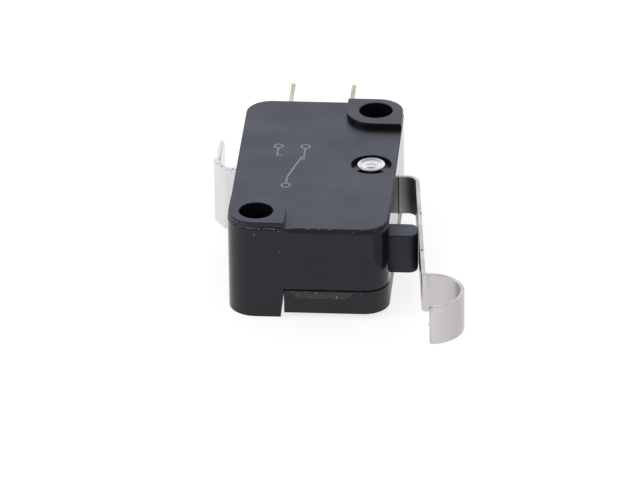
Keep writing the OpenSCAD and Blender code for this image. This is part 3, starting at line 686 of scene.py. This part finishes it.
def easedMesh(raw, name, material, width, segments):
    raw.materials.clear()
    stored = raw.attributes.get("custom_normal")
    if stored:
        raw.attributes.remove(stored)
    rough = newObject(raw.name, raw)
    bevel = rough.modifiers.new("ease", "BEVEL")
    bevel.limit_method = "WEIGHT"
    bevel.width = width * mm
    bevel.segments = segments
    bevel.use_clamp_overlap = False
    bevel.material = 1
    raw.materials.append(material)
    raw.materials.append(material)
    mesh = takeResult(rough)
    mesh.name = name
    # the eased faces carry the rim mark for edge wear
    rim = mesh.attributes.new("rim", "FLOAT", "CORNER")
    for face in mesh.polygons:
        mark = 1.0 if face.material_index == 1 else 0.0
        for corner in face.loop_indices:
            rim.data[corner].value = mark
        face.material_index = 0
    mesh.materials.clear()
    smoothFaces(mesh, sharpAngle)
    return mesh


def roundedCopy(nodeName, pieceName, bodyName, material, ease):
    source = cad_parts[nodeName].data
    if "groove" in ease:
        source = grooveCut(source, ease["groove"])
    bm = weldedCopy(source)
    mergeFlats(bm, ease["seams"])
    if "crown" in ease:
        crownRim(bm, ease["crown"])
    if "draft" in ease:
        openHoles(bm, ease["draft"])
    widest = max(width for width, test in ease["rounds"])
    weighEdges(bm, ease, widest)
    mesh = easedMesh(meshFrom(bm, pieceName + "Raw"), pieceName, material, widest, ease["segments"])
    made = newObject(pieceName, mesh, material)
    level = made.modifiers.new("evenShading", "WEIGHTED_NORMAL")
    level.keep_sharp = True
    level.weight = 80  # large faces lead
    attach(made, bodyName)
    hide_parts(nodeName)
    return made


rimShape = {
    "least": 0.07,
    "front": {"more": 0.45, "ends": 1.5, "over": 3.5},
    "side": {"more": 0.1, "ends": 17, "over": 10, "past": 12},
}


def rimRadius(spot):
    # widest along the front, narrow along the back and the common side
    front, side = (part["more"] * min(max((part["ends"] - spot.y) / part["over"], 0.0), 1.0)
                   for part in (rimShape["front"], rimShape["side"]))
    return rimShape["least"] + max(front, side if spot.x > rimShape["side"]["past"] else 0.0)


caseEase = {
    "segments": 3,
    "seams": [(1, 0.0), (1, 11.5), (1, 22.2), (2, 5.2), (0, 3.0), (0, 4.0),  # axis and place
              (1, 3.0), (1, 4.0), (1, 18.2), (1, 19.2)],
    "crown": {"level": body["broad"], "radius": rimRadius, "share": 0.7, "steps": 5, "bend": 0.5},
    "draft": {"above": 10.1, "within": 1.75, "widen": 0.07},
    "rounds": [  # width and rule: boss tops, pockets in the broad face, walls under the crowned rim
        (0.08, lambda mid, way, bend: bend > 0 and mid.z > body["boss"] - touch and not byHole(mid)),
        (0.06, lambda mid, way, bend: (bend > 0 and abs(mid.z - body["broad"]) < touch
                                       and not onOutline(mid))),
        (0.06, lambda mid, way, bend: (bend > 0 and mid.z < body["broad"] - 0.4 and onOutline(mid)
                                       and not byHole(mid))),
    ],
}
caseShell = roundedCopy("case", "caseShell", "housing", casePlastic, caseEase)

coverEase = {
    "segments": 3,
    "seams": [(1, 0.0), (1, 11.5), (1, 22.2)],
    "groove": {"depth": 0.24, "past": 1, "low": 2.97, "high": 4.0},
    "rounds": [  # groove, then the outer edges
        (0.05, lambda mid, way, bend: onOutline(mid) and mid.z > body["seam"] - 0.4),
        (0.08, lambda mid, way, bend: onOutline(mid) or mid.z < body["under"] + touch),
    ],
}
coverShell = roundedCopy("cover", "coverShell", "housing", coverPlastic, coverEase)

plungerEase = {
    "segments": 3,
    "seams": [],
    "rounds": [  # the end that stands out, then the rest
        (0.1, lambda mid, way, bend: mid.x > body["plunger"] - 0.5),
        (0.05, lambda mid, way, bend: True),
    ],
}
roundedCopy("plunger", "plungerBlock", "plunger", plungerPlastic, plungerEase)

stripSeams = [(2, 5.2), (1, 8.4), (1, 10.2)]
stripEase = {
    "segments": 2,
    "seams": stripSeams,
    "rounds": [(0.05, lambda mid, way, bend: bend > 0)],
}
foldEase = {
    "segments": 4,
    "seams": stripSeams,
    "rounds": [  # upright edges of the fold, then the rest
        (0.22, lambda mid, way, bend: mid.x < -3.4 and mid.y < 14.15 and abs(way.z) > 0.9),
        (0.05, lambda mid, way, bend: bend > 0),
    ],
}
leverStrip = roundedCopy("lever", "leverStrip", "lever", leverSteel, stripEase)
commonTab = roundedCopy("common_terminal", "commonTab", "housing", tinnedBrass, foldEase)
roundedCopy("open_terminal", "openTab", "housing", platedTab, stripEase)
roundedCopy("closed_terminal", "closedTab", "housing", platedTab, stripEase)
print("eased pieces made")


# rivet with a thin rolled rim, a shallow moat and a low creased dome with a small pit

rivetShape = {
    "centre": (10.55, 11.5),
    "around": 96,
    "top": 9.76, "low": 0.56,
    "flatEnd": [(0.0, 0.0), (1.1, 0.0), (1.35, 0.015), (1.5, 0.07), (1.6, 0.2)],  # radius and rise
    "shankR": 1.0, "seatLow": 1.0, "seatTop": 9.2, "headR": 1.4, "rimR": 0.1, "rimSweep": 115, "rimSteps": 10,
    "moat": [(1.17, 0.03), (1.06, 0.06), (0.98, 0.09), (0.92, 0.107), (0.86, 0.113)],  # radius and depth
    "domeDepth": 0.03, "domePower": 1.6, "domeSteps": 14,
    "pitR": 0.14, "pitDepth": 0.12,
    "pit": [(1.0, 0.0), (0.5, 0.6), (0.0, 1.0)],  # shares of its radius and depth
    "crease": 0.06, "creases": 3, "creaseTurn": 135,
    "sharpAngle": 50,
}


def rivetProfile(shape):
    # radius and height from the flat end up to the pit, and where in the list the dome begins
    low, top, rimR = shape["low"], shape["top"], shape["rimR"]
    profile = [(r, low + rise) for r, rise in shape["flatEnd"]]
    profile += [(profile[-1][0], shape["seatLow"]), (shape["shankR"], shape["seatLow"]),
                (shape["shankR"], shape["seatTop"]), (shape["headR"], shape["seatTop"])]
    # the rolled rim is a quarter round outside and a part of one into the moat
    crest = shape["headR"] - rimR
    for k in range(shape["rimSteps"] + 1):
        a = radians(shape["rimSweep"] * k / shape["rimSteps"])
        profile.append((crest + rimR * cos(a), top - rimR + rimR * sin(a)))
    profile += [(r, top - down) for r, down in shape["moat"]]
    domeFrom = len(profile)
    r0, z0 = profile[-1]
    crown = top - shape["domeDepth"]
    for k in range(1, shape["domeSteps"]):
        t = 1 - k / shape["domeSteps"]
        if r0 * t > shape["pitR"]:
            profile.append((r0 * t, crown + (z0 - crown) * t ** shape["domePower"]))
    profile += [(shape["pitR"] * r, crown - shape["pitDepth"] * down) for r, down in shape["pit"]]
    return profile, domeFrom


def turnRivet(shape):
    profile, domeFrom = rivetProfile(shape)
    domeR = profile[domeFrom - 1][0]
    count = shape["around"]
    bm = bmesh.new()
    rings = []
    for i, (r, z) in enumerate(profile):
        if r == 0.0:
            rings.append([bm.verts.new((0, 0, z * mm))])
            continue
        ring = []
        for k in range(count):
            a = 2 * pi * k / count
            lift = 0.0
            if i >= domeFrom:
                t = r / domeR
                fold = abs(sin(shape["creases"] / 2 * a - radians(shape["creaseTurn"])))
                lift = shape["crease"] * fold * t * (1 - t) * 4
            ring.append(bm.verts.new((r * cos(a) * mm, r * sin(a) * mm, (z + lift) * mm)))
        rings.append(ring)
    for one, two in zip(rings, rings[1:]):
        for k in range(count):
            n = (k + 1) % count
            if len(one) == 1:
                bm.faces.new((one[0], two[n], two[k]))
            elif len(two) == 1:
                bm.faces.new((one[k], one[n], two[0]))
            else:
                bm.faces.new((one[k], one[n], two[n], two[k]))
    bmesh.ops.recalc_face_normals(bm, faces=bm.faces)
    bmesh.ops.translate(bm, verts=bm.verts, vec=Vector((*shape["centre"], 0)) * mm)
    mesh = meshFrom(bm, "rivetBody")
    smoothFaces(mesh, shape["sharpAngle"])
    made = newObject("rivetBody", mesh, rivetSteel)
    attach(made, "housing")
    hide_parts("rivet")


turnRivet(rivetShape)
print("rivet turned")


# small flaws of moulding and use, and dark lumps whose colour is painted shade

flashPlastic = mouldedPlastic("flashPlastic", {
    "dark": (0.05, 0.05, 0.052), "light": (0.26, 0.26, 0.265),
    "wear": ((0.3, 0.3, 0.3), 0.5, 0.3), "dust": ((0.3, 0.3, 0.3), 1.0, 0.04, 0.2),
    "specular": 0.4, "sheen": (0.95, 0.95, 1.0), "faceRough": (0.4, 0.55), "wallRough": (0.4, 0.55),
    "grain": (0.05, 0.3), "bump": (0.2, 0.01),
})
scuffedPlastic = mouldedPlastic("scuffedPlastic", {
    "dark": (0.007, 0.007, 0.0072), "light": (0.07, 0.07, 0.066),
    "wear": ((0.06, 0.06, 0.058), 0.5, 0.3), "dust": ((0.3, 0.3, 0.29), 0.4, 0.07, 0.14),
    "specular": 0.32, "sheen": (0.95, 0.95, 1.0), "faceRough": (0.5, 0.6), "wallRough": (0.5, 0.62),
    "grain": (0.06, 0.16), "bump": (0.3, 0.02),
})
# painted shade: a dark metal for lumps put where the metal edges show shaded pits
burrPaintedShade = rolledMetal("burrPaintedShade", {
    "clean": (0.16, 0.15, 0.14), "stain": (0.06, 0.055, 0.05), "edge": ((0.2, 0.19, 0.18), 0.3),
    "streak": 0.2, "stainSize": 0.2, "roughness": (0.35, 0.5), "bump": (0.1, 0.005),
})
inkWhite = mouldedPlastic("inkWhite", {
    "dark": (0.2, 0.21, 0.25), "light": (0.3, 0.31, 0.36),
    "wear": ((0.3, 0.31, 0.36), 0.5, 0.3), "dust": ((0.05, 0.05, 0.06), 0.35, 0.05, 0.15),
    "specular": 0.3, "sheen": (0.9, 0.92, 1.0), "faceRough": (0.45, 0.55), "wallRough": (0.45, 0.55),
    "grain": (0.08, 0.6), "bump": (0.1, 0.005),
})


def finishPiece(name, bm, bodyName, material):
    mesh = meshFrom(bm, name)
    smoothFaces(mesh, sharpAngle)
    made = newObject(name, mesh, material)
    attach(made, bodyName)


chipLump = {"push": 0.4, "pitch": 1.6, "shift": 50}


def addChip(bm, draw, spot, size, axis, turn):
    # one uneven lump
    made = bmesh.ops.create_icosphere(bm, subdivisions=2, radius=1.0)["verts"]
    shift = Vector([draw.uniform(0, chipLump["shift"]) for k in range(3)])
    spin = Matrix.Rotation(radians(turn), 3, axis)
    for v in made:
        push = 1 + chipLump["push"] * noise.noise(v.co * chipLump["pitch"] + shift)
        v.co = (spin @ Vector([c * push * s for c, s in zip(v.co, size)]) + Vector(spot)) * mm


def chipPiece(name, chips, hosts, bodyName, material, seed):
    # lumps that each sit on the nearest point of a host piece
    draw = random.Random(seed)
    skins = [BVHTree.FromPolygons([v.co for v in host.data.vertices],
                                  [f.vertices for f in host.data.polygons]) for host in hosts]
    bm = bmesh.new()
    for spot, size, axis, turn in chips:
        near = min((skin.find_nearest(Vector(spot) * mm) for skin in skins), key=lambda hit: hit[3])
        addChip(bm, draw, near[0] / mm, size, axis, turn)
    finishPiece(name, bm, bodyName, material)


flash = {
    "seed": 11,
    # how far each lump may differ, and its shape
    "arcDraw": {"step": (0.1, 0.9), "out": (-0.03, 0.02), "grow": (0.5, 1.5), "rise": (-0.03, 0.03),
                "turn": (0, 180), "shape": (1, 0.7, 0.6)},
    "lineDraw": {"step": (0.1, 0.9), "out": (-0.05, 0.05), "grow": (0.6, 1.4), "rise": (-0.02, 0.02),
                 "turn": (-40, 40), "shape": (1.3, 0.7, 0.6)},
    # runs round the corner: angles, distances from the hole in X and Y, height, count, size
    "arcs": [
        (181, 187, 2.73, 2.6, 9.76, 2, 0.07), (193, 236, 2.76, 2.62, 9.7, 16, 0.08),
        (236, 270, 2.75, 2.63, 9.7, 24, 0.075), (190, 252, 2.735, 2.55, 10.05, 16, 0.06),
    ],
    # runs along the front: ends in X, Y, height, count, size
    "lines": [
        (0.0, 0.6, -2.63, 9.7, 6, 0.075), (0.9, 1.25, -2.63, 9.7, 4, 0.065), (1.4, 2.0, -2.64, 9.7, 8, 0.085),
        (2.0, 2.9, -2.66, 9.68, 5, 0.06), (2.3, 2.6, -2.78, 9.5, 2, 0.05), (1.9, 2.4, -2.56, 10.0, 3, 0.045),
        (4.95, 5.4, -2.46, 9.68, 4, 0.065),
        (6.3, 6.5, -2.45, 9.68, 1, 0.06), (6.9, 7.1, -2.42, 9.69, 1, 0.05), (7.3, 7.65, -2.44, 9.68, 4, 0.06),
        (9.6, 9.75, -2.7, 9.55, 1, 0.05), (10.5, 10.6, -2.5, 9.66, 2, 0.05),
    ],
    # single specks: place, half sizes, axis and turn
    "specks": [
        ((0.04, -2.8, 9.06), (0.06, 0.02, 0.09), "Y", 20), ((-0.92, -2.65, 5.89), (0.05, 0.02, 0.05), "Y", 0),
        ((2.5, -2.8, 7.25), (0.03, 0.012, 0.22), "Y", 35), ((9.13, 9.26, 9.7), (0.07, 0.05, 0.015), "Z", 30),
        ((10.43, -2.8, 2.82), (0.06, 0.02, 0.05), "Y", 10),
        ((11.9, -2.28, 9.66), (0.07, 0.06, 0.03), "Z", 30),
        ((12.62, -1.4, 9.68), (0.06, 0.08, 0.03), "Z", 20),
    ],
}


def flashChips(runs):
    draw = random.Random(runs["seed"])
    chips = []
    vary = runs["arcDraw"]
    for start, end, farX, farY, z, count, size in runs["arcs"]:
        for k in range(count):
            a = radians(start + (end - start) * (k + draw.uniform(*vary["step"])) / count)
            out = draw.uniform(*vary["out"])
            grow = size * draw.uniform(*vary["grow"])
            spot = ((farX + out) * cos(a), (farY + out) * sin(a), z + draw.uniform(*vary["rise"]))
            chips.append((spot, [grow * s for s in vary["shape"]], "Z", draw.uniform(*vary["turn"])))
    vary = runs["lineDraw"]
    for start, end, y, z, count, size in runs["lines"]:
        for k in range(count):
            x = start + (end - start) * (k + draw.uniform(*vary["step"])) / count
            grow = size * draw.uniform(*vary["grow"])
            spot = (x, y + draw.uniform(*vary["out"]), z + draw.uniform(*vary["rise"]))
            chips.append((spot, [grow * s for s in vary["shape"]], "Z", draw.uniform(*vary["turn"])))
    return chips + runs["specks"]


chipPiece("mouldFlash", flashChips(flash), [caseShell, coverShell], "housing",
          flashPlastic, flash["seed"])

# dark lumps on the lever's edges, painted dark as painted shade
leverBurrShade = {
    "seed": 5,
    "chips": [
        ((15.81, 6.06, 7.25), (0.1, 0.13, 0.05), "Z", 10),
        ((16.38, -1.69, 7.25), (0.11, 0.16, 0.06), "Z", -5),
        ((17.76, -13.22, 5.22), (0.05, 0.16, 0.09), "Z", 5),
        ((17.86, -13.3, 7.12), (0.06, 0.08, 0.06), "Z", 0),
    ],
}
chipPiece("leverBurrShade", leverBurrShade["chips"], [leverStrip], "lever", burrPaintedShade,
          leverBurrShade["seed"])

# dark lumps by the fold of the common tab, painted dark as painted shade
commonBurrShade = {
    "seed": 9,
    "chips": [
        ((-4.72, 13.2, 8.5), (0.05, 0.1, 0.06), "Z", 30), ((-4.45, 12.62, 8.5), (0.05, 0.08, 0.05), "Z", 40),
        ((-3.38, 12.12, 8.5), (0.06, 0.05, 0.06), "Z", 0), ((-3.45, 12.05, 8.3), (0.04, 0.04, 0.06), "Z", 0),
    ],
}
chipPiece("commonBurrShade", commonBurrShade["chips"], [commonTab], "housing", burrPaintedShade,
          commonBurrShade["seed"])

scuff = {
    "left": (3.45, 4.0), "right": (9.94, 8.85),  # ends at the top and at the bottom
    "low": 2.11, "high": 2.93, "margin": 0.12, "rows": 16, "pitch": 0.055,
    "proud": 0.05, "sunk": 0.012, "back": -2.7, "fade": 0.14, "least": 0.45,
    # noise: how strong, how close along X and Z, and which slice of it
    "ragged": (0.12, 1.3, 0, 7), "coarse": (1, 3.5, 5, 3), "fine": (0.4, 11, 11, 9),
}


def scuffNoise(kind, x, z):
    gain, pitchX, pitchZ, layer = kind
    return gain * noise.noise(Vector((x * pitchX, z * pitchZ, layer)))


def scuffDepth(shape, x, z):
    # Y of the rubbed surface
    (leftTop, leftLow), (rightTop, rightLow) = shape["left"], shape["right"]
    down = (shape["high"] - z) / (shape["high"] - shape["low"])
    leftEnd = leftTop + (leftLow - leftTop) * down
    rightEnd = rightTop + (rightLow - rightTop) * down
    lowEnd = shape["low"] + scuffNoise(shape["ragged"], x, z)
    keep = min(max(min(x - leftEnd, rightEnd - x, z - lowEnd) / shape["fade"], 0.0), 1.0)
    lump = max(0.0, shape["least"] + scuffNoise(shape["coarse"], x, z)) + scuffNoise(shape["fine"], x, z)
    return body["front"] + shape["sunk"] - keep * (shape["sunk"] + shape["proud"] * lump)


def rubScuff(shape):
    # rough patch that handling has left under the seam: a front and a rear sheet, closed all round
    low, high, rows = shape["low"] - shape["margin"], shape["high"], shape["rows"]
    left, right = shape["left"][0], shape["right"][0]
    xs = [left + k * shape["pitch"] for k in range(int((right - left) / shape["pitch"]) + 1)]
    zs = [low + (high - low) * k / rows for k in range(rows + 1)]
    bm = bmesh.new()
    face = [[bm.verts.new((x * mm, scuffDepth(shape, x, z) * mm, z * mm)) for x in xs] for z in zs]
    rear = [[bm.verts.new((x * mm, shape["back"] * mm, z * mm)) for x in xs] for z in zs]
    lastX, lastZ = len(xs) - 1, len(zs) - 1
    for i in range(lastZ):
        for k in range(lastX):
            for sheet in (face, rear):
                bm.faces.new((sheet[i][k], sheet[i][k + 1], sheet[i + 1][k + 1], sheet[i + 1][k]))
    for k in range(lastX):
        for i in (0, lastZ):
            bm.faces.new((face[i][k], face[i][k + 1], rear[i][k + 1], rear[i][k]))
    for i in range(lastZ):
        for k in (0, lastX):
            bm.faces.new((face[i][k], face[i + 1][k], rear[i + 1][k], rear[i][k]))
    bmesh.ops.recalc_face_normals(bm, faces=bm.faces)
    finishPiece("coverScuff", bm, "housing", scuffedPlastic)


rubScuff(scuff)
print("small flaws added")


# printed changeover symbol on the broad face

symbol = {
    "width": 0.2, "proud": 0.012, "sunk": 0.05,
    "layer": 0.0006,  # each line lies this much over the one before
    "ringR": 0.42, "ringSteps": 36, "miterLeast": 0.3,
    "rings": [(2.4, 6.6), (3.75, 15.0), (1.05, 15.0)],
    "strokes": [
        [(2.4, 7.02), (2.4, 8.4)], [(2.4, 8.4), (3.55, 12.9)], [(3.75, 14.58), (3.75, 12.3), (3.3, 12.3)],
        [(1.05, 14.58), (1.05, 13.0), (1.5, 13.0)],
    ],
}


def strokeSide(points, k, closed, mark):
    # from a point of the line to its edge, mitred at bends
    spot = points[k]
    before = points[k - 1] if k or closed else spot * 2 - points[k + 1]
    after = points[(k + 1) % len(points)] if k + 1 < len(points) or closed else spot * 2 - points[k - 1]
    one, two = (spot - before).normalized(), (after - spot).normalized()
    miter = Vector((-(one + two).y, (one + two).x)).normalized()
    return miter * (mark["width"] / 2) / max(miter.dot(Vector((-one.y, one.x))), mark["miterLeast"])


def printSymbol(mark):
    lines = [(points, False) for points in mark["strokes"]]
    turns = [radians(360 / mark["ringSteps"] * k) for k in range(mark["ringSteps"])]
    r = mark["ringR"]
    for x, y in mark["rings"]:
        lines.append(([(x + r * cos(a), y + r * sin(a)) for a in turns], True))
    low = body["broad"] - mark["sunk"]
    bm = bmesh.new()
    for n, (points, closed) in enumerate(lines):
        top = body["broad"] + mark["proud"] + mark["layer"] * n
        points = [Vector(p) for p in points]
        sections = []
        for k, spot in enumerate(points):
            side = strokeSide(points, k, closed, mark)
            corners = ((spot + side, low), (spot - side, low), (spot - side, top), (spot + side, top))
            sections.append([bm.verts.new((p.x * mm, p.y * mm, z * mm)) for p, z in corners])
        for one, two in zip(sections, sections[1:] + (sections[:1] if closed else [])):
            for k in range(4):
                bm.faces.new((one[k], one[(k + 1) % 4], two[(k + 1) % 4], two[k]))
        if not closed:
            bm.faces.new(sections[0])
            bm.faces.new(sections[-1])
    bmesh.ops.recalc_face_normals(bm, faces=bm.faces)
    finishPiece("contactSymbol", bm, "housing", inkWhite)


printSymbol(symbol)
print("symbol printed")


# inner works keep their CAD shapes and take their own finishes

innerWorks = {
    "open_contact": contactSilver,
    "closed_contact": contactSilver,
    "moving_contact": contactSilver,
    "actuating_arm": armCopper,
    "contact_arm": armCopper,
    "snap_spring": springSteel,
}
for nodeName, finish in innerWorks.items():
    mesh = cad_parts[nodeName].data
    mesh.materials.clear()
    mesh.materials.append(finish)
print("inner works finished")
